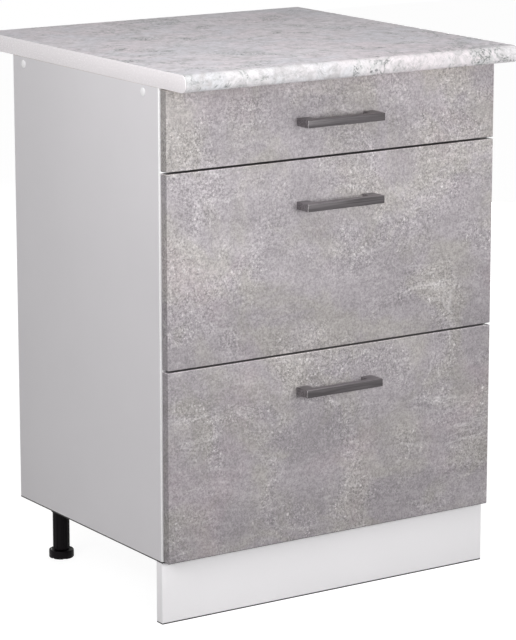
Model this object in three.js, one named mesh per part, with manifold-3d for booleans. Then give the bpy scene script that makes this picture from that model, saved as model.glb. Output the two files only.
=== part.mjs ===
// Base cabinet with three drawers: a laminate worktop on a board carcass, which stands on
// adjustable legs behind a clipped plinth. Each drawer runs on roller runners.
// Millimetres, +Z up, the front faces -Y, and the floor is at Z = 0.
import * as THREE from 'three';
import { mergeVertices } from 'three/addons/utils/BufferGeometryUtils.js';
import Module from 'manifold-3d';

const wasm = await Module();
wasm.setup();

// ---------------------------------------------------------------- driving dimensions
const boardThickness = 16;
const looseFit = 0.3;             // gap round a piece that turns, slides or plugs in
const screwRadius = 3;            // shank of the carcass screws
const overshoot = 1;              // how far a cutter runs past the face, or a boss into its plate
const holeTurns = 12;

const carcass = {
  width: 600,
  height: 716,
  depth: 433,
  backThickness: 3,
  backInset: 2,                   // back panel edge inside the carcass outline
  frontRailDepth: 88,
  rearRailDepth: 66,
  screwDrop: 11,                  // screw centre below the top of the side panel
  easedEdge: 0.4,
};
const worktop = {
  depth: 600,
  thickness: 26,
  overhang: 56,                   // nose ahead of the drawer fronts
  edging: 1,                      // band glued on each end
  noseRadius: 11,                 // of the nose's upper and lower edge
  noseSteps: 8,
};
const fronts = {
  inset: 2,                       // front edge inside the carcass outline
  gap: 3,                         // between two fronts
  clearance: 1,                   // behind the fronts, to the carcass
  topHeight: 120,                 // the two lower fronts share the rest
  easedEdge: 0.5,
};
const handle = {
  length: 140,
  holeSpacing: 128,
  projection: 30,
  height: 12,
  barDepth: 12,
  footWidth: 20,
  corner: 1,
  easedEdge: 0.5,
  threadRadius: 1.8,
  threadDepth: 14,
  screwRadius: 2.2,
};
const leg = {
  height: 96,                     // floor to carcass underside
  inset: 46,                      // leg centre from the side panel's outer face
  frontSetback: 46,               // leg centre behind the carcass front edge
  rearSetback: 48,                // leg centre ahead of the side panel's rear edge
  flangeSide: 56,
  flangeThickness: 4,
  flangeCorner: 8,
  flangeSteps: 4,
  collarRadius: 15.5,
  collarLength: 16,
  shaftRadius: 12.5,
  spigotRadius: 5,
  spigotLength: 10,
  spigotRoom: 1,                  // hole beyond the spigot's end
  wall: 2.5,
  boreTop: 10,                    // solid top between the bore and the carcass
  turns: 24,
};
const foot = {
  radius: 20,
  height: 13,
  rim: 1.5,                       // bevel round the top and bottom of the pad
  dishDepth: 1,
  dishEdge: 3,
  stemLength: 57,
  notches: 6,
  notchWidth: 5,
  notchReach: 3,
  notchHeight: 1.5,
  notchTurn: 15,                  // degrees
};
const plinth = {
  topClearance: 0.5,
  easedEdge: 0.5,
  clipPlateWidth: 40,
  clipPlateHeight: 50,
  clipPlateThickness: 3,
  clipHeight: 20,
  clipWall: 2.5,
  clipArmWidth: 12,
  clipOpening: 110,               // degrees of the ring left open behind the leg
  clipSteps: 20,
};
const cap = {
  radius: 6.5,
  rise: 1.6,
  stemLength: 8,
  holeRoom: 1,                    // hole beyond the stem's end
  steps: 3,
  turns: 16,
};
const runner = {
  frontSetback: 2,                // runner end behind the carcass front edge
  rearRoom: 31,                   // free depth behind the runner, to the back panel
  height: 22,
  flangeWidth: 11,
  sheet: 1.2,
  rise: 17,                       // runner base above the bottom edge of its front
  rollerSetback: 12,              // roller centre from the end of its runner
  flangeGap: 6,                   // roller to the front end of the flanges
  rollerLift: 7,                  // cabinet roller centre above the runner base
};
const roller = {
  radius: 8,
  width: 7,
  edge: 0.6,
  turns: 20,
  pinRadius: 2.5,
  headRadius: 4,
  headThickness: 1,
  pinTurns: 10,
  cabinetShoulder: 1,             // pin's shoulder between the sheet and the roller
  drawerShoulder: 2,
};
const drawerBox = {
  sideClearance: 12.5,            // side panel to the drawer's steel side
  sheet: 1.2,
  base: 3,                        // steel side's lower edge above the runner base
  rearSetback: 2,                 // drawer's rear end ahead of the runner's
  bottomFlange: 16,
  topFlange: 4.3,
  deepHeight: 150,                // steel sides of the two lower drawers
  headroom: 6,                    // top drawer's sides to the front rail
  lipGap: 2.5,                    // drawer lip to the side panel
  lipSetback: 1,                  // lip's front end behind the carcass front edge
  lipRollerGap: 3,                // lip's rear end to the drawer's roller
  tabWidth: 16,
  tabMargin: 5,                   // tab clear of the side's edges
  backDrop: 2,                    // back board below the top of the sides
};

// The drawers from top to bottom: handleDrop is the front's top edge to the handle's centre.
const drawers = [
  { name: 'top', handleDrop: 65 },
  { name: 'middle', handleDrop: 68 },
  { name: 'bottom', handleDrop: 57 },
];

// ---------------------------------------------------------------- worked out from them
const halfWidth = carcass.width / 2;
const innerHalf = halfWidth - boardThickness;
const noseY = -worktop.depth / 2;
const frontFaceY = noseY + worktop.overhang;
const frontRearY = frontFaceY + boardThickness;
const carcassFrontY = frontRearY + fronts.clearance;
const carcassRearY = carcassFrontY + carcass.depth;
const carcassBaseZ = leg.height;
const carcassTopZ = carcassBaseZ + carcass.height;
const railUnderZ = carcassTopZ - boardThickness;
const runnerFrontY = carcassFrontY + runner.frontSetback;
const runnerRearY = carcassRearY - runner.rearRoom;
const drawerRearY = runnerRearY - drawerBox.rearSetback;

const lowerFrontHeight = (carcass.height - 2 * fronts.inset - fronts.topHeight) / 2 - fronts.gap;
let nextTop = carcassTopZ - fronts.inset;
for (const drawer of drawers) {
  const height = drawer.name === 'top' ? fronts.topHeight : lowerFrontHeight;
  drawer.frontTop = nextTop;
  drawer.frontBase = nextTop - height;
  drawer.runnerBase = drawer.frontBase + runner.rise;
  drawer.sideBase = drawer.runnerBase + drawerBox.base;
  drawer.sideTop = drawer.name === 'top'
    ? railUnderZ - drawerBox.headroom
    : drawer.sideBase + drawerBox.deepHeight;
  drawer.lipBase = drawer.runnerBase + runner.rollerLift + roller.radius + looseFit;
  nextTop = drawer.frontBase - fronts.gap;
}

// ---------------------------------------------------------------- finishes
const finish = (color, roughness, metalness = 0) =>
  new THREE.MeshStandardMaterial({ color, roughness, metalness });
const finishes = {
  whiteBoard: finish('#d6d3d6', 0.45),
  concreteFront: finish('#b3aeb0', 0.6),
  stoneLaminate: finish('#c2bec1', 0.4),
  endBand: finish('#dedbdd', 0.45),
  plinthBoard: finish('#e2dfe1', 0.4),
  hardboard: finish('#cfc9bf', 0.7),
  graphite: finish('#6f6b6e', 0.4, 0.8),
  blackPlastic: finish('#19161a', 0.5),
  whitePlastic: finish('#ebe9ea', 0.4),
  whiteSteel: finish('#dddcda', 0.4, 0.3),
  greyNylon: finish('#8d8c8e', 0.5),
};

// ---------------------------------------------------------------- geometry helpers
// The cross-section's axes and the extrusion's direction, as columns of a turn.
const alongX = new THREE.Matrix4().makeBasis(
  new THREE.Vector3(0, 1, 0), new THREE.Vector3(0, 0, 1), new THREE.Vector3(1, 0, 0));
const alongY = new THREE.Matrix4().makeBasis(
  new THREE.Vector3(1, 0, 0), new THREE.Vector3(0, 0, 1), new THREE.Vector3(0, -1, 0));

const cabinet = new THREE.Group();

function place(name, geometry, material, x = 0, y = 0, z = 0, parent = cabinet) {
  const mesh = new THREE.Mesh(geometry, material);
  mesh.name = name;
  mesh.position.set(x, y, z);
  parent.add(mesh);
  return mesh;
}

function boxBetween(low, high) {
  const size = high.map((value, axis) => value - low[axis]);
  const middle = high.map((value, axis) => (value + low[axis]) / 2);
  return new THREE.BoxGeometry(...size).translate(...middle);
}

function outline(points) {
  return new THREE.Shape(points.map(([a, b]) => new THREE.Vector2(a, b)));
}

// A flat board centred on the origin, square to one axis, with eased edges round both faces.
function easedBoard(sizeA, sizeB, thickness, ease, turn) {
  const a = sizeA / 2;
  const b = sizeB / 2;
  const board = new THREE.ExtrudeGeometry(outline([[-a, -b], [a, -b], [a, b], [-a, b]]), {
    depth: thickness - 2 * ease,
    bevelThickness: ease,
    bevelSize: ease,
    bevelOffset: -ease,
    bevelSegments: 1,
  });
  return board.translate(0, 0, ease - thickness / 2).applyMatrix4(turn);
}

// A solid of revolution about Z: the profile is [radius, height] pairs, anticlockwise.
function turned(profile, segments) {
  const points = profile.map(([radius, height]) => new THREE.Vector2(radius, height));
  return new THREE.LatheGeometry(points, segments).rotateX(Math.PI / 2);
}

function rod(radius, from, to, segments) {
  return turned([[0, from], [radius, from], [radius, to], [0, to]], segments);
}

function toSolid(geometry) {
  const bare = geometry.clone();
  bare.deleteAttribute('normal');
  bare.deleteAttribute('uv');
  const merged = mergeVertices(bare, 1e-4);
  return new wasm.Manifold(new wasm.Mesh({
    numProp: 3,
    vertProperties: Float32Array.from(merged.attributes.position.array),
    triVerts: Uint32Array.from(merged.index.array),
  }));
}

function toGeometry(solid) {
  const mesh = solid.getMesh();
  const geometry = new THREE.BufferGeometry();
  geometry.setAttribute('position', new THREE.BufferAttribute(mesh.vertProperties, 3));
  geometry.setIndex(new THREE.BufferAttribute(mesh.triVerts, 1));
  return geometry;
}

function joined(...pieces) {
  return toGeometry(pieces.map(toSolid).reduce((whole, piece) => whole.add(piece)));
}

function cut(body, ...tools) {
  return toGeometry(tools.map(toSolid).reduce((rest, tool) => rest.subtract(tool), toSolid(body)));
}

// Left is -X and right is +X: each pair of handed pieces is made by one loop over these.
const sides = [
  { label: 'left', sign: -1 },
  { label: 'right', sign: 1 },
];

// ---------------------------------------------------------------- worktop
function worktopOutline() {
  const { thickness, noseRadius } = worktop;
  const shape = new THREE.Shape();
  shape.moveTo(worktop.depth / 2, 0);
  shape.lineTo(worktop.depth / 2, thickness);
  shape.lineTo(noseY + noseRadius, thickness);
  shape.absarc(noseY + noseRadius, thickness - noseRadius, noseRadius, Math.PI / 2, Math.PI, false);
  // the upright face between the two edges is joined up by the second arc
  shape.absarc(noseY + noseRadius, noseRadius, noseRadius, Math.PI, Math.PI * 1.5, false);
  return shape;
}

function addWorktop() {
  const slab = (length) => new THREE.ExtrudeGeometry(worktopOutline(), {
    depth: length,
    bevelEnabled: false,
    curveSegments: worktop.noseSteps,
  }).applyMatrix4(alongX);
  const coreHalf = halfWidth - worktop.edging;
  place('worktop', slab(2 * coreHalf), finishes.stoneLaminate, -coreHalf, 0, carcassTopZ);
  place('worktop_edging_left', slab(worktop.edging), finishes.endBand, -halfWidth, 0, carcassTopZ);
  place('worktop_edging_right', slab(worktop.edging), finishes.endBand, coreHalf, 0, carcassTopZ);
}

// ---------------------------------------------------------------- carcass
const screwRows = [
  { label: 'front', y: carcassFrontY + carcass.frontRailDepth / 2 },
  { label: 'rear', y: carcassRearY - carcass.rearRailDepth / 2 },
];
const capZ = carcassTopZ - carcass.screwDrop;
const capHoleDepth = cap.stemLength + cap.holeRoom;

function addSidePanels() {
  for (const { label, sign } of sides) {
    const x = sign * (halfWidth - boardThickness / 2);
    const y = (carcassFrontY + carcassRearY) / 2;
    const z = (carcassBaseZ + carcassTopZ) / 2;
    const board = easedBoard(carcass.depth, carcass.height, boardThickness, carcass.easedEdge, alongX);
    const holes = screwRows.map((row) => {
      const bit = rod(screwRadius + looseFit, 0, capHoleDepth + overshoot, cap.turns);
      return bit.rotateY(sign * Math.PI / 2)
        .translate(sign * (boardThickness / 2 - capHoleDepth), row.y - y, capZ - z);
    });
    place(`side_panel_${label}`, cut(board, ...holes), finishes.whiteBoard, x, y, z);
  }
}

function addScrewCaps() {
  const dome = [];
  for (let step = 1; step <= cap.steps; step += 1) {
    const angle = (step / cap.steps) * (Math.PI / 2);
    dome.push([cap.radius * Math.cos(angle), cap.rise * Math.sin(angle)]);
  }
  dome[dome.length - 1][0] = 0;
  const stem = [[0, -cap.stemLength], [screwRadius, -cap.stemLength], [screwRadius, 0]];
  const profile = [...stem, [cap.radius, 0], ...dome];
  for (const { label, sign } of sides) {
    for (const row of screwRows) {
      const geometry = turned(profile, cap.turns).rotateY(sign * Math.PI / 2);
      place(`screw_cap_${row.label}_${label}`, geometry, finishes.whitePlastic,
        sign * halfWidth, row.y, capZ);
    }
  }
}

function legPlaces() {
  const rows = [
    { label: 'front', y: carcassFrontY + leg.frontSetback },
    { label: 'rear', y: carcassRearY - leg.rearSetback },
  ];
  return rows.flatMap((row) => sides.map((side) => ({
    label: `${row.label}_${side.label}`,
    x: side.sign * (halfWidth - leg.inset),
    y: row.y,
    row: row.label,
    side: side.label,
  })));
}

function addBoards() {
  const span = 2 * innerHalf;
  const holeRadius = leg.spigotRadius + looseFit;
  const holeTop = carcassBaseZ + leg.spigotLength + leg.spigotRoom;
  const spigotHoles = legPlaces().map(({ x, y }) => (
    rod(holeRadius, carcassBaseZ - overshoot, holeTop, holeTurns).translate(x, y, 0)));
  const bottom = boxBetween(
    [-innerHalf, carcassFrontY, carcassBaseZ],
    [innerHalf, carcassRearY, carcassBaseZ + boardThickness]);
  place('bottom_panel', cut(bottom, ...spigotHoles), finishes.whiteBoard);

  const railZ = carcassTopZ - boardThickness / 2;
  const frontRail = new THREE.BoxGeometry(span, carcass.frontRailDepth, boardThickness);
  const rearRail = new THREE.BoxGeometry(span, carcass.rearRailDepth, boardThickness);
  place('top_rail_front', frontRail, finishes.whiteBoard, 0, screwRows[0].y, railZ);
  place('top_rail_rear', rearRail, finishes.whiteBoard, 0, screwRows[1].y, railZ);

  const back = new THREE.BoxGeometry(
    carcass.width - 2 * carcass.backInset,
    carcass.backThickness,
    carcass.height - 2 * carcass.backInset);
  place('back_panel', back, finishes.hardboard,
    0, carcassRearY + carcass.backThickness / 2, (carcassBaseZ + carcassTopZ) / 2);
}

// ---------------------------------------------------------------- legs, feet and plinth
function legGeometry() {
  const top = leg.height;
  const plateBase = top - leg.flangeThickness;
  const collarBase = plateBase - leg.collarLength;
  const shaftBase = foot.height + looseFit;
  const boreRadius = leg.shaftRadius - leg.wall;
  const tube = turned([
    [0, top - leg.boreTop],
    [boreRadius, top - leg.boreTop],
    [boreRadius, shaftBase],
    [leg.shaftRadius, shaftBase],
    [leg.shaftRadius, collarBase],
    [leg.collarRadius, collarBase],
    [leg.collarRadius, plateBase + overshoot],
    [leg.spigotRadius, plateBase + overshoot],
    [leg.spigotRadius, top + leg.spigotLength],
    [0, top + leg.spigotLength],
  ], leg.turns);
  const half = leg.flangeSide / 2;
  const inner = half - leg.flangeCorner;
  const plate = new THREE.Shape();
  plate.absarc(inner, inner, leg.flangeCorner, 0, Math.PI / 2, false);
  plate.absarc(-inner, inner, leg.flangeCorner, Math.PI / 2, Math.PI, false);
  plate.absarc(-inner, -inner, leg.flangeCorner, Math.PI, Math.PI * 1.5, false);
  plate.absarc(inner, -inner, leg.flangeCorner, Math.PI * 1.5, Math.PI * 2, false);
  const flange = new THREE.ExtrudeGeometry(plate, {
    depth: leg.flangeThickness,
    bevelEnabled: false,
    curveSegments: leg.flangeSteps,
  }).translate(0, 0, plateBase);
  return joined(tube, flange);
}

function footGeometry() {
  const stemRadius = leg.shaftRadius - leg.wall - looseFit;
  const dishRadius = foot.radius - foot.dishEdge;
  const pad = turned([
    [0, 0],
    [foot.radius - foot.rim, 0],
    [foot.radius, foot.rim],
    [foot.radius, foot.height - foot.rim],
    [foot.radius - foot.rim, foot.height],
    [dishRadius, foot.height],
    [dishRadius - foot.dishDepth, foot.height - foot.dishDepth],
    [stemRadius, foot.height - foot.dishDepth],
    [stemRadius, foot.height + foot.stemLength],
    [0, foot.height + foot.stemLength],
  ], leg.turns);
  const notches = [];
  for (let index = 0; index < foot.notches; index += 1) {
    const turn = THREE.MathUtils.degToRad(foot.notchTurn + (index * 360) / foot.notches);
    const half = foot.notchWidth / 2;
    const notch = boxBetween(
      [foot.radius - foot.notchReach, -half, -overshoot],
      [foot.radius + overshoot, half, foot.notchHeight]);
    notches.push(notch.rotateZ(turn));
  }
  return cut(pad, ...notches);
}

function addLegs() {
  const legShape = legGeometry();
  const footShape = footGeometry();
  for (const { label, x, y } of legPlaces()) {
    place(`leg_${label}`, legShape, finishes.blackPlastic, x, y);
    place(`foot_${label}`, footShape, finishes.blackPlastic, x, y);
  }
}

function clipGeometry(reach) {
  const inner = leg.shaftRadius + looseFit;
  const outer = inner + plinth.clipWall;
  const halfOpen = THREE.MathUtils.degToRad(plinth.clipOpening / 2);
  const start = Math.PI / 2 + halfOpen;
  const end = Math.PI * 2.5 - halfOpen;
  const ring = new THREE.Shape();
  ring.absarc(0, 0, outer, start, end, false);
  ring.absarc(0, 0, inner, end, start, true);
  const clasp = new THREE.ExtrudeGeometry(ring, {
    depth: plinth.clipHeight,
    bevelEnabled: false,
    curveSegments: plinth.clipSteps,
  }).translate(0, 0, -plinth.clipHeight / 2);
  const plate = boxBetween(
    [-plinth.clipPlateWidth / 2, -reach, -plinth.clipPlateHeight / 2],
    [plinth.clipPlateWidth / 2, plinth.clipPlateThickness - reach, plinth.clipPlateHeight / 2]);
  const arm = boxBetween(
    [-plinth.clipArmWidth / 2, overshoot - reach, -plinth.clipHeight / 2],
    [plinth.clipArmWidth / 2, -inner - plinth.clipWall / 2, plinth.clipHeight / 2]);
  return joined(plate, arm, clasp);
}

function addPlinth() {
  const height = leg.height - plinth.topClearance;
  const board = easedBoard(carcass.width, height, boardThickness, plinth.easedEdge, alongY);
  place('plinth', board, finishes.plinthBoard, 0, carcassFrontY + boardThickness / 2, height / 2);
  const clip = clipGeometry(leg.frontSetback - boardThickness);
  for (const { x, y, row, side } of legPlaces()) {
    if (row === 'front') place(`plinth_clip_${side}`, clip, finishes.blackPlastic, x, y, height / 2);
  }
}

// ---------------------------------------------------------------- drawer runners
// A pin along +X from its base at X = 0: a shoulder, the roller's seat and a riveted head.
function rollerPin(shoulder) {
  const seat = shoulder + roller.width + 2 * looseFit;
  return turned([
    [0, -drawerBox.sheet / 2],
    [roller.headRadius, -drawerBox.sheet / 2],
    [roller.headRadius, shoulder],
    [roller.pinRadius, shoulder],
    [roller.pinRadius, seat],
    [roller.headRadius, seat],
    [roller.headRadius, seat + roller.headThickness],
    [0, seat + roller.headThickness],
  ], roller.pinTurns).rotateY(Math.PI / 2);
}

function rollerGeometry() {
  const half = roller.width / 2;
  const bore = roller.pinRadius + looseFit;
  const ring = turned([
    [bore, -half],
    [roller.radius - roller.edge, -half],
    [roller.radius, roller.edge - half],
    [roller.radius, half - roller.edge],
    [roller.radius - roller.edge, half],
    [bore, half],
    [bore, -half],
  ], roller.turns);
  return ring.rotateY(Math.PI / 2);
}

// Both runners are drawn for the right side, with X towards the middle of the cabinet
// negative, and the left one is turned by mirroring each point's X.
function mirrored(geometry, sign) {
  if (sign > 0) return geometry;
  const flipped = geometry.clone().applyMatrix4(new THREE.Matrix4().makeScale(-1, 1, 1));
  const index = flipped.index.array;
  for (let corner = 0; corner < index.length; corner += 3) {
    [index[corner], index[corner + 1]] = [index[corner + 1], index[corner]];
  }
  return flipped;
}

function cabinetRunner() {
  const { sheet, height, flangeWidth } = runner;
  const rollerY = runnerFrontY + runner.rollerSetback;
  const flangeFrontY = rollerY + roller.radius + runner.flangeGap;
  const web = boxBetween([-sheet, runnerFrontY, 0], [0, runnerRearY, height]);
  const lower = boxBetween([-flangeWidth, flangeFrontY, 0], [0, runnerRearY, sheet]);
  const upper = boxBetween([-flangeWidth, flangeFrontY, height - sheet], [0, runnerRearY, height]);
  const pin = rollerPin(roller.cabinetShoulder)
    .rotateZ(Math.PI)
    .translate(-sheet, rollerY, runner.rollerLift);
  return joined(web, lower, upper, pin);
}

function drawerSide(drawer) {
  const { sheet, sideClearance, bottomFlange, topFlange, tabWidth, tabMargin, lipGap } = drawerBox;
  const wall = innerHalf - sideClearance;
  const base = drawer.sideBase;
  const top = drawer.sideTop;
  const section = new THREE.ExtrudeGeometry(outline([
    [wall, base], [wall, top], [wall - sheet - topFlange, top],
    [wall - sheet - topFlange, top - sheet], [wall - sheet, top - sheet],
    [wall - sheet, base + sheet], [wall - sheet - bottomFlange, base + sheet],
    [wall - sheet - bottomFlange, base],
  ]), { depth: drawerRearY - frontRearY, bevelEnabled: false });
  const sheetBody = section.applyMatrix4(alongY).translate(0, drawerRearY, 0);

  const rollerY = drawerRearY - runner.rollerSetback;
  const lipRearY = rollerY - roller.radius - drawerBox.lipRollerGap;
  const lip = boxBetween(
    [wall - sheet / 2, carcassFrontY + drawerBox.lipSetback, drawer.lipBase],
    [innerHalf - lipGap, lipRearY, drawer.lipBase + sheet]);
  const tab = boxBetween(
    [wall - sheet - tabWidth, frontRearY, base + 2 * sheet + boardThickness + tabMargin],
    [wall - sheet / 2, frontRearY + sheet, top - sheet - tabMargin]);
  const pin = rollerPin(roller.drawerShoulder).translate(wall, rollerY, drawerRollerZ(drawer));
  return joined(sheetBody, lip, tab, pin);
}

function drawerRollerZ(drawer) {
  return drawer.runnerBase + runner.sheet + looseFit + roller.radius;
}

function addRunners(drawer, group) {
  const runnerShape = cabinetRunner();
  const sideShape = drawerSide(drawer);
  const wheel = rollerGeometry();
  const wall = innerHalf - drawerBox.sideClearance;
  const seatMiddle = looseFit + roller.width / 2;
  const cabinetRollerX = innerHalf - runner.sheet - roller.cabinetShoulder - seatMiddle;
  const drawerRollerX = wall + roller.drawerShoulder + seatMiddle;
  for (const { label, sign } of sides) {
    const tag = `${drawer.name}_${label}`;
    place(`cabinet_runner_${tag}`, mirrored(runnerShape, sign), finishes.whiteSteel,
      sign * innerHalf, 0, drawer.runnerBase, group);
    place(`cabinet_roller_${tag}`, wheel, finishes.greyNylon,
      sign * cabinetRollerX, runnerFrontY + runner.rollerSetback, drawer.runnerBase + runner.rollerLift, group);
    place(`drawer_side_${tag}`, mirrored(sideShape, sign), finishes.whiteSteel, 0, 0, 0, group);
    place(`drawer_roller_${tag}`, wheel, finishes.greyNylon,
      sign * drawerRollerX, drawerRearY - runner.rollerSetback, drawerRollerZ(drawer), group);
  }
}

// ---------------------------------------------------------------- drawer boxes and fronts
function handleGeometry() {
  const half = handle.length / 2;
  const { projection, corner, footWidth, barDepth, easedEdge } = handle;
  const plan = outline([
    [-half, 0], [-half, corner - projection], [corner - half, -projection],
    [half - corner, -projection], [half, corner - projection], [half, 0],
    [half - footWidth, 0], [half - footWidth, barDepth - projection],
    [footWidth - half, barDepth - projection], [footWidth - half, 0],
  ]);
  const bar = new THREE.ExtrudeGeometry(plan, {
    depth: handle.height - 2 * easedEdge,
    bevelThickness: easedEdge,
    bevelSize: easedEdge,
    bevelOffset: -easedEdge,
    bevelSegments: 1,
  }).translate(0, 0, easedEdge - handle.height / 2);
  const bit = rod(handle.threadRadius, -handle.threadDepth, overshoot, holeTurns).rotateX(-Math.PI / 2);
  const threads = [-1, 1].map((sign) => bit.clone().translate((sign * handle.holeSpacing) / 2, 0, 0));
  return cut(bar, ...threads);
}

function frontGeometry(drawer, handleZ) {
  const width = carcass.width - 2 * fronts.inset;
  const height = drawer.frontTop - drawer.frontBase;
  const middleZ = (drawer.frontTop + drawer.frontBase) / 2;
  const board = easedBoard(width, height, boardThickness, fronts.easedEdge, alongY);
  const bit = rod(handle.screwRadius, -boardThickness, boardThickness, holeTurns).rotateX(Math.PI / 2);
  const holes = [-1, 1].map((sign) => (
    bit.clone().translate((sign * handle.holeSpacing) / 2, 0, handleZ - middleZ)));
  return cut(board, ...holes);
}

function addDrawer(drawer) {
  const group = new THREE.Group();
  cabinet.add(group);
  addRunners(drawer, group);

  const handleZ = drawer.frontTop - drawer.handleDrop;
  place(`drawer_front_${drawer.name}`, frontGeometry(drawer, handleZ), finishes.concreteFront,
    0, frontFaceY + boardThickness / 2, (drawer.frontTop + drawer.frontBase) / 2, group);
  place(`handle_${drawer.name}`, handleGeometry(), finishes.graphite, 0, frontFaceY, handleZ, group);

  const innerWall = innerHalf - drawerBox.sideClearance - drawerBox.sheet - looseFit;
  const floorBase = drawer.sideBase + drawerBox.sheet;
  const floorTop = floorBase + boardThickness;
  const floor = boxBetween([-innerWall, frontRearY, floorBase], [innerWall, drawerRearY, floorTop]);
  place(`drawer_bottom_${drawer.name}`, floor, finishes.whiteBoard, 0, 0, 0, group);
  const back = boxBetween(
    [-innerWall, drawerRearY - boardThickness, floorTop],
    [innerWall, drawerRearY, drawer.sideTop - drawerBox.backDrop]);
  place(`drawer_back_${drawer.name}`, back, finishes.whiteBoard, 0, 0, 0, group);
}

addWorktop();
addSidePanels();
addScrewCaps();
addBoards();
addLegs();
addPlinth();
drawers.forEach(addDrawer);

export default cabinet;
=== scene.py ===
# The looks of a three-drawer base cabinet: printed worktop and fronts, white boards,
# graphite handles, steel drawer sides on rollers, and black adjustable legs.
# Metres, +Z up, the fronts face -Y. Lengths in the settings are in millimetres.
import math

import bmesh
import bpy
from mathutils import Matrix, Vector


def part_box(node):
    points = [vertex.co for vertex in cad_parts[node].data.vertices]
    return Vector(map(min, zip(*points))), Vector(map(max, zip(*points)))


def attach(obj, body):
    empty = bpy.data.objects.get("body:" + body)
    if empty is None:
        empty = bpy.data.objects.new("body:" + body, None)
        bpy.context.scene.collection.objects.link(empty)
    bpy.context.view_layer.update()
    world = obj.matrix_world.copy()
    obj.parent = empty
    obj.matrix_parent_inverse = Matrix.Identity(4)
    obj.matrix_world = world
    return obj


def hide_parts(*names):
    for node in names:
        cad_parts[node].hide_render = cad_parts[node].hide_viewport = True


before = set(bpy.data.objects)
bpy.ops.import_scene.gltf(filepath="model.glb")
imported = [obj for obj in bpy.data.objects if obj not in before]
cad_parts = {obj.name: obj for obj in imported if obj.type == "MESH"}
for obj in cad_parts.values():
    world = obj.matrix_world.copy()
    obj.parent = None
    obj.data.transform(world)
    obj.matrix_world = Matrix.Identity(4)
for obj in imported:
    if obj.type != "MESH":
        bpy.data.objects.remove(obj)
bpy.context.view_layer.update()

mm = 0.001
scene = bpy.context.scene
scene.view_settings.view_transform = "Standard"
sides = (("left", -1), ("right", 1))
drawers = ("top", "middle", "bottom")


# helpers for objects and shader nodes
def meshObject(name, bm):
    mesh = bpy.data.meshes.new(name)
    bm.to_mesh(mesh)
    bm.free()
    made = bpy.data.objects.new(name, mesh)
    scene.collection.objects.link(made)
    return made


def addAimed(name, data, place, way):
    # a camera or a lamp that looks along way
    made = bpy.data.objects.new(name, data)
    made.location = place
    made.rotation_mode = "QUATERNION"
    made.rotation_quaternion = way.to_track_quat("-Z", "Y")
    scene.collection.objects.link(made)
    return made


def shaderNode(tree, kind, inputs=None, **options):
    made = tree.nodes.new("ShaderNode" + kind)
    for name, value in options.items():
        setattr(made, name, value)
    for name, value in (inputs or {}).items():
        if isinstance(value, bpy.types.NodeSocket):
            tree.links.new(value, made.inputs[name])
        else:
            made.inputs[name].default_value = value
    return made


def maths(tree, operation, a, b=0.0):
    return shaderNode(tree, "Math", {0: a, 1: b}, operation=operation).outputs[0]


def times(tree, a, b):
    return maths(tree, "MULTIPLY", a, b)


# camera, floor and light
cameraPlace = {
    "target": (0.0137, -0.0119, 0.3896),  # metres
    "azimuth": -33.42,  # degrees from straight in front, towards the left side
    "elevation": 12.73,
    "distance": 4.764,
    "lens": 168.8,
}


def addCamera():
    turn = math.radians(cameraPlace["azimuth"])
    rise = math.radians(cameraPlace["elevation"])
    back = Vector((math.sin(turn) * math.cos(rise), -math.cos(turn) * math.cos(rise), math.sin(rise)))
    data = bpy.data.cameras.new("camera")
    data.lens = cameraPlace["lens"]
    data.clip_start, data.clip_end = 0.05, 60
    place = Vector(cameraPlace["target"]) + back * cameraPlace["distance"]
    scene.camera = addAimed("camera", data, place, -back)


studio = {
    "ambient": 0.33,  # strength of the white world on the object
    "floorSize": 12,  # metres
    "floorColour": 0.5,
    "floorGlow": 0.88,  # what the camera sees of the floor in full shadow
    "floorShade": 0.3,  # how much of the light and shadow on the floor shows
}
# place and aim in metres, size, and power in watts
lamps = {
    "front": ((0.3, -2.2, 0.92), (0.15, -0.2, 2.4), 1.0, 33),
    "above": ((-0.3, -0.5, 1.78), (-0.15, -0.6, 0.8), 0.8, 8.1),
    "left": ((-1.9, -0.9, 1.4), (-0.3, 0, 0.7), 1.2, 17.3),
    "behind": ((2.4, 2.1, 0.46), (0, 0, 0.45), 0.9, 40),
}


def seenDirectly(tree):
    # 1 for what the camera sees straight, in a reflection or through glass
    rays = shaderNode(tree, "LightPath").outputs
    either = maths(tree, "MAXIMUM", rays["Is Camera Ray"], rays["Is Glossy Ray"])
    return maths(tree, "MAXIMUM", either, rays["Is Transmission Ray"])


def floorPaper():
    paper = bpy.data.materials.new("floor_paper")
    paper.use_nodes = True
    tree = paper.node_tree
    tree.nodes.clear()
    plain = shaderNode(tree, "BsdfDiffuse", {"Color": (studio["floorColour"],) * 3 + (1,)})
    shade = shaderNode(tree, "BsdfDiffuse", {"Color": (studio["floorShade"],) * 3 + (1,)})
    glow = shaderNode(tree, "Emission", {"Strength": studio["floorGlow"]})
    lit = shaderNode(tree, "AddShader", {0: shade.outputs[0], 1: glow.outputs[0]})
    paint = shaderNode(tree, "MixShader", {0: seenDirectly(tree), 1: plain.outputs[0], 2: lit.outputs[0]})
    # seen from below, the floor isn't there
    behind = shaderNode(tree, "NewGeometry").outputs["Backfacing"]
    below = times(tree, behind, shaderNode(tree, "LightPath").outputs["Is Camera Ray"])
    clear = shaderNode(tree, "BsdfTransparent").outputs[0]
    surface = shaderNode(tree, "MixShader", {0: below, 1: paint.outputs[0], 2: clear})
    shaderNode(tree, "OutputMaterial", {"Surface": surface.outputs[0]})
    return paper


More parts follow.
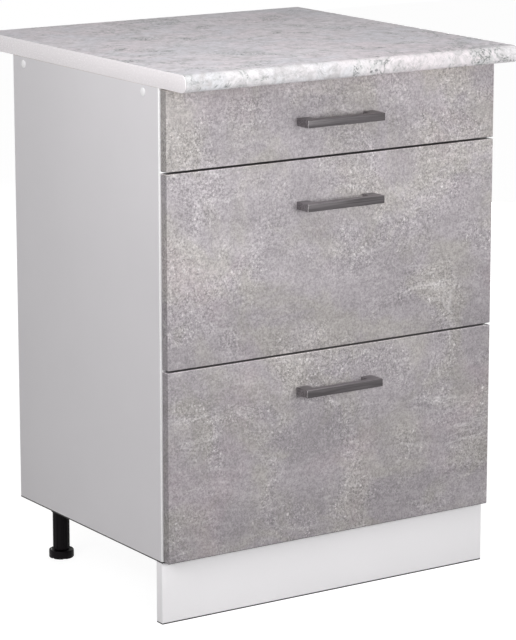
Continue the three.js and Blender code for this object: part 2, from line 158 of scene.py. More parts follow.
def addStudio():
    world = bpy.data.worlds.new("studio")
    world.use_nodes = True
    scene.world = world
    tree = world.node_tree
    strength = shaderNode(tree, "MapRange", {  # white background, softer light
        "Value": seenDirectly(tree), "To Min": studio["ambient"], "To Max": 1,
    })
    sky = tree.nodes["Background"]
    sky.inputs["Color"].default_value = (1, 1, 1, 1)
    tree.links.new(strength.outputs[0], sky.inputs["Strength"])

    grid = bmesh.new()
    bmesh.ops.create_grid(grid, x_segments=1, y_segments=1, size=studio["floorSize"] / 2)
    floor = meshObject("studio_floor", grid)
    floor.data.materials.append(floorPaper())

    for name, (place, aim, size, power) in lamps.items():
        data = bpy.data.lights.new(name, "AREA")
        data.shape = "SQUARE"
        data.size = size
        data.energy = power
        addAimed(name, data, place, Vector(aim) - Vector(place))


addCamera()
addStudio()
print("camera, floor and light are in place")


# material helpers
def colourOf(colour):
    # a hex colour as linear RGBA; a socket is passed on
    if not isinstance(colour, str):
        return colour
    channels = [int(colour[i:i + 2], 16) / 255 for i in (1, 3, 5)]
    return (*[c / 12.92 if c <= 0.04045 else ((c + 0.055) / 1.055) ** 2.4 for c in channels], 1.0)


def blended(tree, factor, a, b, kind="MIX"):
    inputs = {0: factor, 6: colourOf(a), 7: colourOf(b)}
    return shaderNode(tree, "Mix", inputs, data_type="RGBA", blend_type=kind).outputs[2]


def shaded(tree, colour, gain, greenGain=None):
    # multiplies a colour, its green by a gain of its own if one is given
    green = gain if greenGain is None else greenGain
    gains = shaderNode(tree, "CombineColor", {0: gain, 1: green, 2: gain}).outputs[0]
    return blended(tree, 1.0, colour, gains, "MULTIPLY")


def stepped(tree, value, low, high, first=0.0, last=1.0):
    made = shaderNode(tree, "MapRange", {
        "Value": value, "From Min": low, "From Max": high, "To Min": first, "To Max": last,
    }, interpolation_type="SMOOTHSTEP")
    return made.outputs[0]


def noise(tree, place, scale, detail, **more):
    inputs = {"Vector": place, "Scale": scale, "Detail": detail, **more}
    return shaderNode(tree, "TexNoise", inputs).outputs[0]


def nodeGroup(name, numbers, outputs):
    # a shared pattern that takes a vector and numbers, and gives numbers
    group = bpy.data.node_groups.new(name, "ShaderNodeTree")
    group.interface.new_socket(name="Vector", in_out="INPUT", socket_type="NodeSocketVector")
    for label, value in numbers.items():
        socket = group.interface.new_socket(name=label, in_out="INPUT", socket_type="NodeSocketFloat")
        socket.default_value = value
    for label in outputs:
        group.interface.new_socket(name=label, in_out="OUTPUT", socket_type="NodeSocketFloat")
    return group, group.nodes.new("NodeGroupInput").outputs, group.nodes.new("NodeGroupOutput").inputs


def warped(group, given):
    return noise(group, given["Vector"], given["Scale"], given["Detail"],
                 Roughness=0.55, Distortion=given["Warp"])


def placed(tree, group, place, **numbers):
    return shaderNode(tree, "Group", {"Vector": place, **numbers}, node_tree=group).outputs


# soft patches, as in poured or printed stone
def cloudGroup():
    group, given, result = nodeGroup("cloud", {
        "Scale": 10.0, "Detail": 4.0, "Warp": 0.6, "Low": 0.35, "High": 0.65,
    }, ["Mask"])
    field = warped(group, given)
    group.links.new(stepped(group, field, given["Low"], given["High"]), result["Mask"])
    return group


# thin wandering lines that fade in and out along their way
def veinGroup():
    group, given, result = nodeGroup("vein", {
        "Scale": 8.0, "Detail": 5.0, "Warp": 1.2, "Width": 0.02, "Cover": 0.5,
    }, ["Mask"])
    away = maths(group, "ABSOLUTE", maths(group, "SUBTRACT", warped(group, given), 0.5))
    line = stepped(group, away, 0.0, given["Width"], 1.0, 0.0)
    fade = noise(group, given["Vector"], times(group, given["Scale"], 1.7), 2.0)
    bare = maths(group, "SUBTRACT", 1.0, given["Cover"])
    shown = stepped(group, fade, bare, maths(group, "ADD", bare, 0.12))
    group.links.new(times(group, line, shown), result["Mask"])
    return group


# fine grain with a value of about 0.5, and lone flecks in a share of its cells
def speckleGroup():
    group, given, result = nodeGroup("speckle", {
        "Scale": 400.0, "Cells": 200.0, "Share": 0.15,
    }, ["Value", "Fleck"])
    grain = noise(group, given["Vector"], given["Scale"], 3.0, Roughness=0.75)
    cells = shaderNode(group, "TexVoronoi", {"Vector": given["Vector"], "Scale": given["Cells"]}).outputs
    lone = shaderNode(group, "SeparateColor", {0: cells["Color"]}).outputs[0]
    chosen = maths(group, "LESS_THAN", lone, given["Share"])
    spot = stepped(group, cells["Distance"], 0.14, 0.42, 1.0, 0.0)
    group.links.new(grain, result["Value"])
    group.links.new(times(group, chosen, spot), result["Fleck"])
    return group


# drawn-out scratches of a brushed or rolled face, along X
def brushGroup():
    group, given, result = nodeGroup("brush", {"Length": 12.0, "Fineness": 900.0}, ["Value"])
    size = shaderNode(group, "CombineXYZ", {
        "X": given["Length"], "Y": given["Fineness"], "Z": given["Fineness"],
    }).outputs[0]
    drawn = shaderNode(group, "VectorMath", {0: given["Vector"], 1: size}, operation="MULTIPLY").outputs[0]
    group.links.new(noise(group, drawn, 1.0, 4.0, Roughness=0.65), result["Value"])
    return group


# a pressed texture for moulded, painted and laminated faces
def pearlGroup():
    group, given, result = nodeGroup("pearl", {"Scale": 700.0, "Soften": 0.5}, ["Height"])
    coarse = noise(group, given["Vector"], given["Scale"], 1.0)
    fine = noise(group, given["Vector"], times(group, given["Scale"], 3.1), 1.0)
    height = shaderNode(group, "Mix", {0: given["Soften"], 2: fine, 3: coarse}, data_type="FLOAT")
    group.links.new(height.outputs[0], result["Height"])
    return group


cloud = cloudGroup()
vein = veinGroup()
speckle = speckleGroup()
brush = brushGroup()
pearl = pearlGroup()
materials = {}


def newMaterial(name, **sockets):
    material = bpy.data.materials.new(name)
    material.use_nodes = True
    materials[name] = material
    tree = material.node_tree
    for label, value in sockets.items():
        tree.nodes["Principled BSDF"].inputs[label.replace("_", " ")].default_value = value
    return tree, shaderNode(tree, "TexCoord").outputs["Object"]


def finished(tree, colour, rough=None, height=None, depth=0.0, strength=1.0):
    # links the colour, the roughness and a bump with its depth to the material's shader
    shader = tree.nodes["Principled BSDF"].inputs
    tree.links.new(colour, shader["Base Color"])
    if rough is not None:
        tree.links.new(rough, shader["Roughness"])
    if height is not None:
        bump = shaderNode(tree, "Bump", {"Height": height, "Distance": depth * mm, "Strength": strength})
        tree.links.new(bump.outputs[0], shader["Normal"])


def clouded(tree, place, scale, **numbers):
    return placed(tree, cloud, place, Scale=scale, **numbers)["Mask"]


def brushed(tree, place, length, fineness):
    return placed(tree, brush, place, Length=length, Fineness=fineness)["Value"]


def varied(tree, colour, value, amount):
    # lightens and darkens a colour as value goes either side of 0.5
    return shaded(tree, colour, stepped(tree, value, 0.3, 0.7, 1 - amount, 1 + amount))


def bent(tree, place, scale, amount):
    # sways the coordinates, so that a straight pattern sweeps over the face
    sway = shaderNode(tree, "TexNoise", {"Vector": place, "Scale": scale, "Detail": 2.0}).outputs["Color"]
    centred = shaderNode(tree, "VectorMath", {0: sway, 1: (0.5,) * 3}, operation="SUBTRACT").outputs[0]
    inputs = {0: centred, 1: (amount,) * 3, 2: place}
    return shaderNode(tree, "VectorMath", inputs, operation="MULTIPLY_ADD").outputs[0]


def mapped(tree, place, **changes):
    return shaderNode(tree, "Mapping", {"Vector": place, **changes}).outputs[0]


concrete = {
    "cool": "#a8a2a6", "warm": "#aba6a4", "pink": "#b0a2a8", "light": "#d6d2d3", "dark": "#857f84",
    "low": 0.84,  # painted shade: brightness of the print near the floor
    "fade": (0.18, 0.8),  # heights in metres between which the painted shade darkens it
    "rough": 0.62, "grain": 330.0,  # the grain per metre
}
# drifts of light and dark: stretch across the face, scale, detail and depth
concreteTones = ((1.0, 3.5, 2.0, 0.06), (0.3, 17.0, 5.0, 0.1), (1.0, 42.0, 5.0, 0.07))
# light drawn smears: turn, how long and how fine, where they start and are full, and strength
concreteMarks = (
    (-5, 7.0, 75.0, 0.54, 0.7, 0.35),
    (7, 9.0, 130.0, 0.57, 0.7, 0.4),
    (84, 8.0, 120.0, 0.56, 0.7, 0.3),
    (-60, 12.0, 230.0, 0.61, 0.69, 0.4),
)
# hairlines: shift of the pattern, scale, width, how much of their way shows, strength and tint
concreteHairs = (
    (0.0, 6.0, 0.006, 0.4, 0.4, "light"),
    (8.1, 15.0, 0.014, 0.4, 0.4, "light"),
    (2.9, 3.0, 0.004, 0.38, 0.5, "dark"),
)
# flecks: cells to the metre, share of the cells, strength and tint
concreteFlecks = ((330.0, 0.3, 0.75, "light"), (140.0, 0.1, 0.75, "light"), (190.0, 0.2, 0.5, "dark"))


def concretePrint(name, gain=1.0):
    tree, place = newMaterial(name, Roughness=concrete["rough"])
    swept = bent(tree, place, 4.0, 0.09)
    ragged = bent(tree, place, 230.0, 0.004)
    patch = clouded(tree, swept, 10.0, Low=0.42, High=0.62)
    colour = blended(tree, patch, concrete["cool"], concrete["warm"])
    blush = clouded(tree, swept, 7.0, Low=0.52, High=0.7)
    colour = blended(tree, times(tree, blush, 0.35), colour, concrete["pink"])
    height = shaderNode(tree, "SeparateXYZ", {0: place}).outputs[2]
    # painted shade: the print darkens towards the floor, for the light that falls off lower down
    colour = shaded(tree, colour, stepped(tree, height, *concrete["fade"], concrete["low"], 1.0))
    for stretch, scale, detail, depth in concreteTones:
        drawn = mapped(tree, swept, Scale=(stretch, 1.0, 1.0))
        tone = noise(tree, drawn, scale, detail, Roughness=0.6, Distortion=0.6)
        colour = varied(tree, colour, tone, depth)
    worn = clouded(tree, swept, 11.0, Detail=5.0, Low=0.42, High=0.62)
    wear = maths(tree, "ADD", times(tree, worn, 0.75), 0.25)
    for turn, length, fineness, low, high, strength in concreteMarks:
        along = mapped(tree, swept, Rotation=(0, math.radians(turn), 0))
        mark = stepped(tree, brushed(tree, along, length, fineness), low, high)
        colour = blended(tree, times(tree, mark, times(tree, wear, strength)), colour, concrete["light"])
    for cells, share, strength, tint in concreteFlecks:
        grain = placed(tree, speckle, ragged, Scale=concrete["grain"], Cells=cells, Share=share)
        fleck = times(tree, grain["Fleck"], times(tree, wear, strength))
        colour = blended(tree, fleck, colour, concrete[tint])
    calm = varied(tree, colour, grain["Value"], 0.24)
    colour = blended(tree, worn, calm, varied(tree, colour, grain["Value"], 0.42))
    for shift, scale, width, cover, strength, tint in concreteHairs:
        moved = mapped(tree, swept, Location=(shift,) * 3)
        line = placed(tree, vein, moved, Scale=scale, Detail=1.5, Warp=0.8, Width=width, Cover=cover)
        colour = blended(tree, times(tree, line["Mask"], strength), colour, concrete[tint])
    # a gain other than 1 paints light or shade over the whole print: lighter for a highlight, darker for
    # shade
    if gain != 1.0:
        colour = shaded(tree, colour, gain)
    rough = stepped(tree, grain["Value"], 0.3, 0.7, concrete["rough"] + 0.06, concrete["rough"] - 0.08)
    finished(tree, colour, rough, grain["Value"], 0.05, 0.5)


stone = {
    "white": "#e4e1e3", "grey": "#cbc8ca", "rose": "#e4dcdf", "blue": "#dadbdf", "halo": "#c5c9c8",
    "vein": "#737876", "speck": "#545959", "core": "#8b8384", "rough": 0.52,
    "end": 300, "joint": 1.3,  # half the sheet's length, and the width of the line at its ends
    "nose": (1.0, 0.9), "top": 0.775,  # painted shade: brightness of the nose's print at its bottom and top, darker at the top, and of the flat top, darker still
    "noseRise": (0.814, 0.836), "noseEnd": (-0.2893, -0.2887),  # where on Z and Y, in metres
}
# crumpled veins: scale, width, how much of their way shows, strength, and its share between the clusters
stoneVeins = (
    (9.0, 0.012, 0.46, 0.5, 0.6),
    (26.0, 0.035, 0.52, 0.85, 0.3),
    (55.0, 0.06, 0.52, 0.8, 0.25),
    (105.0, 0.09, 0.48, 0.6, 0.2),
)


def stoneLaminate(name):
    tree, place = newMaterial(name, Roughness=stone["rough"], Specular_IOR_Level=0.1)
    swept = bent(tree, place, 9.0, 0.06)
    base = stone["white"]
    for tint, scale in (("rose", 4.0), ("blue", 7.0)):
        tinge = clouded(tree, swept, scale, Low=0.46, High=0.62)
        base = blended(tree, times(tree, tinge, 0.8), base, stone[tint])
    smoke = clouded(tree, swept, 42.0, Detail=7.0, Warp=1.2, Low=0.42, High=0.7)
    fine = noise(tree, swept, 150.0, 5.0, Roughness=0.7, Distortion=1.0)
    colour = varied(tree, blended(tree, smoke, base, stone["grey"]), fine, 0.1)
    cluster = clouded(tree, swept, 13.0, Detail=5.0, Warp=1.0, Low=0.5, High=0.62)
    around = clouded(tree, swept, 48.0, Detail=5.0, Low=0.4, High=0.62)
    halo = times(tree, times(tree, cluster, around), 0.5)
    colour = blended(tree, halo, colour, stone["halo"])
    for scale, width, cover, strength, away in stoneVeins:
        line = placed(tree, vein, swept, Scale=scale, Warp=1.8, Width=width, Cover=cover)["Mask"]
        line = times(tree, line, stepped(tree, cluster, 0.0, 1.0, strength * away, strength))
        colour = blended(tree, line, colour, stone["vein"])
    crumpled = bent(tree, place, 160.0, 0.006)
    grain = placed(tree, speckle, crumpled, Scale=420.0, Cells=125.0, Share=0.35)
    specks = times(tree, times(tree, grain["Fleck"], cluster), 0.75)
    colour = blended(tree, specks, colour, stone["speck"])
    x, y, z = shaderNode(tree, "SeparateXYZ", {0: place}).outputs
    drawn = noise(tree, swept, 75.0, 6.0, Roughness=0.65, Distortion=0.8)
    # painted shade: the flat top is printed darker than the nose, with a random drift, and the nose darkens
    # towards its top
    topDriftAndPaintedShade = stepped(tree, drawn, 0.3, 0.7, stone["top"] * 0.93, stone["top"] * 1.07)
    nose = stepped(tree, z, *stone["noseRise"], *stone["nose"])
    gain = stepped(tree, y, *stone["noseEnd"], nose, topDriftAndPaintedShade)
    greenGain = stepped(tree, y, *stone["noseEnd"], nose, times(tree, topDriftAndPaintedShade, 0.975))
    colour = shaded(tree, colour, gain, greenGain)
    # the sheet's dark core shows as a line where each end is trimmed
    start, full = ((stone["end"] - width) * mm for width in (2 * stone["joint"], stone["joint"]))
    trimmed = stepped(tree, maths(tree, "ABSOLUTE", x), start, full, 0.0, 0.4)
    colour = blended(tree, trimmed, colour, stone["core"])
    rough = stepped(tree, fine, 0.3, 0.7, stone["rough"] - 0.05, stone["rough"] + 0.07)
    finished(tree, colour, rough, placed(tree, pearl, place, Scale=620.0)["Height"], 0.04, 0.5)


# plain faces: colour, its drift over the face, roughness, shine, and scale and depth of the pressed texture
plainFaces = {
    "white_melamine": ("#dfdcdf", 0.012, 0.46, 0.5, 900.0, 0.03),
    "plinth_face": ("#f9f7f9", 0.012, 0.42, 0.5, 900.0, 0.03),
    "white_edging": ("#fefdfe", 0.005, 0.25, 1.0, 500.0, 0.02),
    "end_band": ("#fbf5f8", 0.015, 0.24, 1.0, 420.0, 0.02),
    "black_plastic": ("#090609", 0.15, 0.5, 0.1, 1100.0, 0.04),
    "white_cap": ("#fbf9fb", 0.01, 0.16, 1.0, 900.0, 0.01),
    "white_steel": ("#e6e5e2", 0.015, 0.36, 0.5, 1500.0, 0.05),
    "grey_nylon": ("#979698", 0.06, 0.4, 0.5, 900.0, 0.03),
    # the black strip: a seal under the plinth, painted shade under the side panels
    "edge_seal": ("#1d1a1c", 0.05, 0.5, 0.3, 900.0, 0.02),
}


def plainFace(name, colour, drift, rough, shine, pressed, depth):
    tree, place = newMaterial(name, Roughness=rough, Specular_IOR_Level=shine)
    height = placed(tree, pearl, place, Scale=pressed)["Height"]
    colour = varied(tree, varied(tree, colour, noise(tree, place, 6.0, 3.0), drift), height, drift)
    finished(tree, colour, stepped(tree, height, 0.3, 0.7, rough - 0.05, rough + 0.05), height, depth, 0.6)


def brushedGraphite(name, colour, metallic):
    tree, place = newMaterial(name, Metallic=metallic, Roughness=0.42)
    streak = brushed(tree, place, 9.0, 420.0)
    colour = varied(tree, varied(tree, colour, streak, 0.4), brushed(tree, place, 5.0, 150.0), 0.2)
    finished(tree, colour, stepped(tree, streak, 0.3, 0.7, 0.34, 0.5), streak, 0.03, 0.6)


def zincPlate():
    tree, place = newMaterial("zinc_plate", Metallic=0.9, Roughness=0.35)
    tarnish = clouded(tree, place, 260.0, Detail=3.0)
    finished(tree, blended(tree, tarnish, "#b9bcc0", "#94979b"), stepped(tree, tarnish, 0.0, 1.0, 0.3, 0.45))


# raw board edges: pressed chips of wood with dark gaps between them
chips = {"pale": "#cdb48b", "brown": "#9a7850", "gap": "#5c4630", "scale": 330.0}


def chipboard():
    tree, place = newMaterial("chipboard", Roughness=0.85)
    inputs = {"Vector": place, "Scale": chips["scale"]}
    cells = shaderNode(tree, "TexVoronoi", inputs).outputs
    tone = shaderNode(tree, "SeparateColor", {0: cells["Color"]}).outputs[0]
    edge = shaderNode(tree, "TexVoronoi", inputs, feature="DISTANCE_TO_EDGE").outputs["Distance"]
    gap = stepped(tree, edge, 0.02, 0.1, 0.7, 0.0)
    colour = blended(tree, gap, blended(tree, tone, chips["pale"], chips["brown"]), chips["gap"])
    finished(tree, colour, height=tone, depth=0.15, strength=0.8)


fibre = {"pale": "#b08f6a", "dark": "#a48460", "fleck": "#c2a680"}


def rawFibreboard():
    tree, place = newMaterial("fibreboard", Roughness=0.8)
    threads = brushed(tree, bent(tree, place, 60.0, 0.02), 160.0, 700.0)
    patch = clouded(tree, place, 40.0, Detail=6.0)
    colour = blended(tree, patch, fibre["pale"], fibre["dark"])
    bits = placed(tree, speckle, place, Scale=300.0, Cells=170.0, Share=0.2)
    colour = blended(tree, times(tree, bits["Fleck"], 0.4), colour, fibre["fleck"])
    colour = varied(tree, varied(tree, colour, bits["Value"], 0.1), threads, 0.14)
    finished(tree, colour, height=threads, depth=0.08, strength=0.7)


def backingPaper():
    tree, place = newMaterial("backing_paper", Roughness=0.75)
    patch = clouded(tree, place, 30.0, Detail=6.0)
    grain = placed(tree, speckle, place, Scale=500.0)["Value"]
    colour = varied(tree, blended(tree, patch, "#a98e6c", "#9a7f5f"), grain, 0.12)
    finished(tree, colour, height=grain, depth=0.05, strength=0.6)


for name, settings in plainFaces.items():
    plainFace(name, *settings)
# the fronts' face; the upper arris, painted lighter as a highlight; the other edges, painted darker as shade
# in the gaps; and the lower arris and edge, painted nearly black as shade
for name, gain in (("face", 1.0), ("rim", 1.6), ("edge", 0.8), ("under", 0.07)):
    concretePrint("concrete_" + name, gain)
# the handles' metal; the same metal painted lighter, as light on the faces that turn from the front; and a
# painted highlight on the end corners
for name, colour, metallic in (
    ("graphite", "#4d494b", 0.5), ("graphite_painted_light", "#7b7679", 0.5), ("graphite_painted_highlight", "#a5a1a3", 0.8),
):
    brushedGraphite(name, colour, metallic)
stoneLaminate("stone_laminate")
zincPlate()
chipboard()
rawFibreboard()
backingPaper()
print("materials:", len(materials))


# modelling helpers
def vertsOf(geometry):
    return [v for v in geometry if isinstance(v, bmesh.types.BMVert)]


def outward(bm):
    bmesh.ops.recalc_face_normals(bm, faces=bm.faces)
    return bm


def rises(edge):
    return abs(edge.verts[0].co.z - edge.verts[1].co.z) > 1e-6


def turnsBy(edge, degrees):
    return len(edge.link_faces) == 2 and edge.calc_face_angle(0) > math.radians(degrees)


def rounded(bm, test, width, segments, **more):
    # rounds the edges that pass a test
    bmesh.ops.bevel(bm, geom=[e for e in bm.edges if test(e)], offset=width * mm, offset_type="OFFSET",
                    affect="EDGES", segments=segments, profile=0.5, material=-1, **more)


def softened(bm, width, segments=2, fromAngle=25):
    rounded(bm, lambda e: turnsBy(e, fromAngle), width, segments, clamp_overlap=True)


def block(low, high, ease=0.0, segments=2):
    # a box between two corners in metres, its edges rounded by ease
    bm = bmesh.new()
    bmesh.ops.create_cube(bm, size=1)
    bmesh.ops.scale(bm, vec=Vector(high) - Vector(low), verts=bm.verts)
    bmesh.ops.translate(bm, vec=(Vector(low) + Vector(high)) / 2, verts=bm.verts)
    if ease:
        softened(bm, ease, segments)
    return bm


def slab(low, high, ease=0.0, segments=2):
    # the same between corners in millimetres
    return block(Vector(low) * mm, Vector(high) * mm, ease, segments)


def turned(profile, steps, closed=False):
    # a solid of revolution about Z from [radius, height] pairs, on the axis at both ends unless closed
    bm = bmesh.new()
    verts = [bm.verts.new((radius * mm, 0, height * mm)) for radius, height in profile]
    edges = [bm.edges.new(pair) for pair in zip(verts, verts[1:])]
    if closed:
        edges.append(bm.edges.new((verts[-1], verts[0])))
    bmesh.ops.spin(bm, geom=verts + edges, cent=(0, 0, 0), axis=(0, 0, 1), angle=math.tau,
                   steps=steps, use_merge=True)
    bmesh.ops.remove_doubles(bm, verts=bm.verts, dist=1e-7)
    return outward(bm)


def drawnSheet(points, reach, radius, segments):
    # a sheet through the points, drawn along reach, with its folds rounded
    bm = bmesh.new()
    verts = [bm.verts.new([c * mm for c in point]) for point in points]
    edges = [bm.edges.new(pair) for pair in zip(verts, verts[1:])]
    drawn = bmesh.ops.extrude_edge_only(bm, edges=edges)["geom"]
    bmesh.ops.translate(bm, vec=[c * mm for c in reach], verts=vertsOf(drawn))
    rounded(bm, lambda e: len(e.link_faces) == 2, radius, segments)
    return bm


def steelStrip(corners, start, end, sheet, bend):
    # a bent steel strip: its outer line in X and Z, drawn along Y, thickened inwards
    bm = drawnSheet([(x, start, z) for x, z in corners], (0, end - start, 0), bend, 4)
    bmesh.ops.solidify(bm, geom=bm.faces[:], thickness=sheet * mm)
    return outward(bm)


def poured(target, part, *places):
    # adds one copy of part to target at each place, and frees part
    mesh = bpy.data.meshes.new("part")
    for place in places or (Matrix(),):
        copy = part.copy()
        bmesh.ops.transform(copy, matrix=place, verts=copy.verts)
        if place.determinant() < 0:
            bmesh.ops.reverse_faces(copy, faces=copy.faces)
        copy.to_mesh(mesh)
        copy.free()
        target.from_mesh(mesh)
    bpy.data.meshes.remove(mesh)
    part.free()
    return target


def copies(part, *places):
    return poured(bmesh.new(), part, *places)


def facing(direction, place):
    # turns +Z to a direction, then moves to a place given in millimetres
    turn = Vector((0, 0, 1)).rotation_difference(Vector(direction)).to_matrix().to_4x4()
    return Matrix.Translation(Vector(place) * mm) @ turn


mirrorX = Matrix.Scale(-1, 4, (1, 0, 0))


def addPiece(name, bm, body, faces, slot=None, replaces=(), sharp=38, pick=None):
    for face in bm.faces:
        face.smooth = True
        if pick:
            face.material_index = pick(face)
    for edge in bm.edges:
        edge.smooth = len(edge.link_faces) == 2 and edge.calc_face_angle(0) < math.radians(sharp)
    piece = meshObject(name, bm)
    for face in faces:
        piece.data.materials.append(materials[face])
    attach(piece, body)
    if replaces:
        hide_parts(*replaces)


def boxOf(node):
    # a node's corners in millimetres
    low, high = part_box(node)
    return low / mm, high / mm


def centreOf(node):
    low, high = boxOf(node)
    return (low + high) / 2


# boards: which faces of a kind are edged in white, and which are left raw
boardFaces = {
    "side": (["front"], ["rear", "up", "down"]),
    "level": (["front"], ["rear", "left", "right"]),
    "tray": ([], ["front", "rear", "left", "right"]),
    "trayBack": (["up"], ["down", "left", "right"]),
}
directions = {
    "left": (-1, 0, 0), "right": (1, 0, 0), "front": (0, -1, 0),
    "rear": (0, 1, 0), "down": (0, 0, -1), "up": (0, 0, 1),
}
board = {
    "ease": 0.35,
    "edgingRound": 2.4,  # radius of the thick white edging on the side panels' front edges
    "sheetEase": 0.2,  # of thin sheets and strips
    "plinthEase": 0.5,
    "darkStrip": 1.8,  # thickness of the black strip under the side panels and the plinth, a floor seal under the plinth and painted shade under the side panels
}


def addBoard(node, kind, body="carcass", raised=0.0):
    edged, raw = boardFaces[kind]
    finishes = {way: "white_edging" if way in edged else "chipboard" if way in raw else "white_melamine"
                for way in directions}
    used = sorted(set(finishes.values()))

    def pick(face):
        way = max(directions, key=lambda key: face.normal.dot(Vector(directions[key])))
        return used.index(finishes["front" if face.normal.y < -0.1 else way])

    low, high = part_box(node)
    low.z += raised * mm
    bm = block(low, high)
    if kind == "side":
        rounded(bm, lambda e: rises(e) and all(abs(v.co.y - low.y) < 1e-6 for v in e.verts),
                board["edgingRound"], 6)
    softened(bm, board["ease"], 2, 60)
    addPiece(node + "_board", bm, body, used, "white_board", [node], pick=pick)


# a black strip under a board: a floor seal under the plinth, painted shade under the side panels
def addDarkStrip(node, slot):
    low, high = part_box(node)
    high.z = low.z + board["darkStrip"] * mm
    addPiece(node + "_seal", block(low, high, board["sheetEase"]), "carcass", ["edge_seal"], slot)


def addCarcass():
    for label, _ in sides:
        addBoard("side_panel_" + label, "side", raised=board["darkStrip"])
        addDarkStrip("side_panel_" + label, "white_board")
    for node in ("bottom_panel", "top_rail_front", "top_rail_rear"):
        addBoard(node, "level")
    sheet = block(*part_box("back_panel"), board["sheetEase"])
    addPiece("back_sheet", sheet, "carcass", ["fibreboard", "white_melamine"], "hardboard", ["back_panel"],
             pick=lambda face: int(face.normal.y < -0.5))


# screws: radius and height of the head, and width, reach and depth of its cross
screwKinds = {
    "board": (3.6, 2.0, 1.0, 2.1, 1.1),
    "handle": (4.4, 2.6, 1.2, 2.6, 1.4),
    "small": (3.0, 1.2, 0.9, 1.8, 0.7),
}


def screwHead(radius, height, slotWidth, slotReach, depth):
    # a domed head with a cross pressed into it, sitting on Z = 0
    dome = [(0, height)]
    for share in (0.25, 0.5, 0.75, 0.92, 1.0):
        dome.append((radius * share, height * math.sqrt(max(0.0, 1 - 0.86 * share * share))))
    bm = turned([*dome, (radius, 0), (0, 0)], 20)
    for axis in ((1, 0, 0), (0, 1, 0)):
        for offset in (-slotReach, -slotWidth / 2, slotWidth / 2, slotReach):
            bmesh.ops.bisect_plane(bm, geom=bm.verts[:] + bm.edges[:] + bm.faces[:],
                                   plane_co=Vector(axis) * offset * mm, plane_no=axis)
    cross = []
    for face in bm.faces:
        x, y, _ = (abs(c) / mm for c in face.calc_center_median())
        if face.normal.z > 0.3 and min(x, y) < slotWidth / 2 and max(x, y) < slotReach:
            cross.append(face)
    pushed = bmesh.ops.extrude_face_region(bm, geom=cross)["geom"]
    bmesh.ops.delete(bm, geom=cross, context="FACES_ONLY")
    bmesh.ops.translate(bm, vec=(0, 0, -depth * mm), verts=vertsOf(pushed))
    return outward(bm)


def addHeads(name, head, body, direction, places):
    addPiece(name, copies(head, *[facing(direction, place) for place in places]), body, ["zinc_plate"])


def addScrews(name, kind, body, direction, places):
    addHeads(name, screwHead(*screwKinds[kind]), body, direction, places)


nails = {"pitch": 98, "inset": 6, "radius": 1.6, "height": 0.7, "rim": 0.2}


def addNails():
    low, high = boxOf("back_panel")
    places = []
    for axis, across in ((0, 2), (2, 0)):
        first, last = low[axis] + nails["inset"], high[axis] - nails["inset"]
        count = round((last - first) / nails["pitch"])
        for edge in (low[across] + nails["inset"], high[across] - nails["inset"]):
            for index in range(count + 1):
                if axis == 2 and index in (0, count):
                    continue  # the corners are in the other rows
                spot = [0, high.y, 0]
                spot[axis] = first + (last - first) * index / count
                spot[across] = edge
                places.append(spot)
    radius, height = nails["radius"], nails["height"]
    dome = [(0, height), (radius * 0.7, height * 0.8), (radius, nails["rim"]), (radius, 0), (0, 0)]
    addHeads("back_sheet_nails", turned(dome, 12), "carcass", (0, 1, 0), places)


cap = {
    "radius": 6.5, "rise": 1.6, "rim": 0.25, "plug": 2.9, "plugDepth": 6,
    "shoulder": 3.4,  # how far in from the rim the cap turns over
    "turn": 80, "arcSteps": 6,
}


def addScrewCaps():
    radius, rise, rim, plug = cap["radius"], cap["rise"], cap["rim"], cap["plug"]
    profile = [(0, -cap["plugDepth"]), (plug, -cap["plugDepth"]), (plug, 0), (radius, 0), (radius, rim)]
    for step in range(1, cap["arcSteps"] + 1):
        angle = math.radians(cap["turn"] * step / cap["arcSteps"])
        profile.append((radius - cap["shoulder"] * (1 - math.cos(angle)),
                        rim + (rise - 2 * rim) * math.sin(angle)))
    profile += [(radius * 0.3, rise - 0.06), (0, rise)]
    for label, sign in sides:
        for row in ("front", "rear"):
            node = f"screw_cap_{row}_{label}"
            seat = centreOf(node)
            seat.x = boxOf("side_panel_" + label)[sign > 0].x  # the panel's outer face
            dome = copies(turned(profile, 40), facing((sign, 0, 0), seat))
            addPiece(node + "_dome", dome, "carcass", ["white_cap"], "white_plastic", [node])


# the worktop: laminate wrapped round the nose, a chipboard core, and a band on each end
worktop = {
    "laminate": 0.8, "noseRadius": 11, "noseSteps": 12,
    "wrapUnder": 35,  # how far behind the nose the laminate ends
    "coreGap": 0.02, "bandEase": 0.3,
}


def noseSheet(x0, x1, inset, rearY, underY):
    # the outer surface from the rear edge of the top, down the nose, to underY below
    low, high = boxOf("worktop")
    frontY, top, base = low.y + inset, high.z - inset, low.z + inset
    line = [(x0, rearY, top), (x0, frontY, top), (x0, frontY, base), (x0, underY, base)]
    return drawnSheet(line, (x1 - x0, 0, 0), worktop["noseRadius"] - inset, worktop["noseSteps"])


def noseBar(x0, x1, inset):
    # the same as a solid, closed at the rear and at both ends
    rearY = boxOf("worktop")[1].y
    bm = noseSheet(x0, x1, inset, rearY, rearY)
    openEdges = [e for e in bm.edges if e.is_boundary]
    furthest = max(v.co.y for v in bm.verts)
    rear = [e for e in openEdges if all(abs(v.co.y - furthest) < 1e-6 for v in e.verts)]
    bmesh.ops.bridge_loops(bm, edges=rear)
    bmesh.ops.holes_fill(bm, edges=[e for e in bm.edges if e.is_boundary], sides=0)
    return outward(bm)


